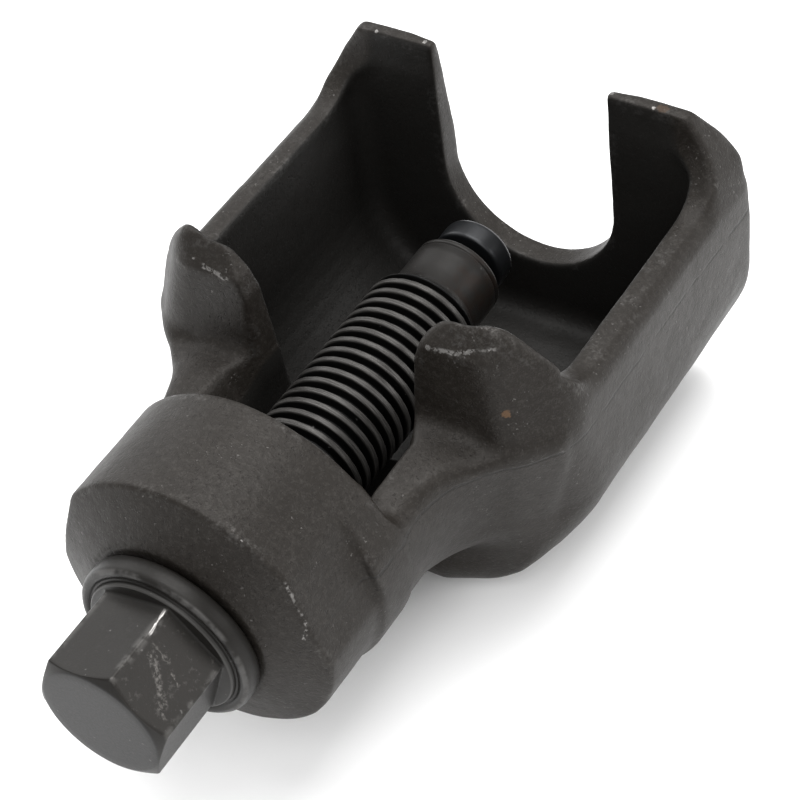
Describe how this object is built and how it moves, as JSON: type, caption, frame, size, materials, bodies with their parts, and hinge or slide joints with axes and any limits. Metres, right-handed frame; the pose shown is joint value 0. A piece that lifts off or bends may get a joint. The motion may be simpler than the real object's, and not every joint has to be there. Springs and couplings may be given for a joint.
{
  "type": "ball joint separator",
  "caption": "Forged ball joint separator: an open trough-shaped body with a fork at one end, a threaded boss at the other and a hexagon-headed force screw with a swivelling pad.",
  "frame": {"origin": "on the screw axis, in the plane of the prongs' bearing faces, at the middle of the fork opening", "axes": "+Y along the screw from the hexagon towards the fork, +Z out of the open side of the body, X across the fork opening"},
  "size_m": [0.08, 0.1378, 0.0635],
  "materials": {
    "forged_steel": "dark grey phosphate on a blasted forging, matt with a slight sheen",
    "screw_steel": "black oxide over turned steel, satin",
    "pad_steel": "blued hardened steel, smooth",
    "spring_wire": "bright drawn spring wire",
    "ball_steel": "polished bearing steel"
  },
  "bodies": {
    "body": {"forged_body": "forged_steel"},
    "pad": {"pressure_pad": "pad_steel", "thrust_ball": "ball_steel"},
    "screw": {"force_screw": "screw_steel", "retaining_ring": "spring_wire"}
  },
  "joints": [
    {"name": "screw_feed", "type": "slide", "parent": "body", "child": "pad", "axis": [0, 1, 0], "range_m": [-0.045, 0.00063]},
    {"name": "screw_turn", "type": "hinge", "parent": "pad", "child": "screw", "pos_m": [0, -0.11, 0], "axis": [0, 1, 0], "range_deg": [-6482, 92]}
  ],
  "couplings": [
    {"joint": "screw_turn", "follows": "screw_feed", "rad_per_m": 2513.3}
  ]
}
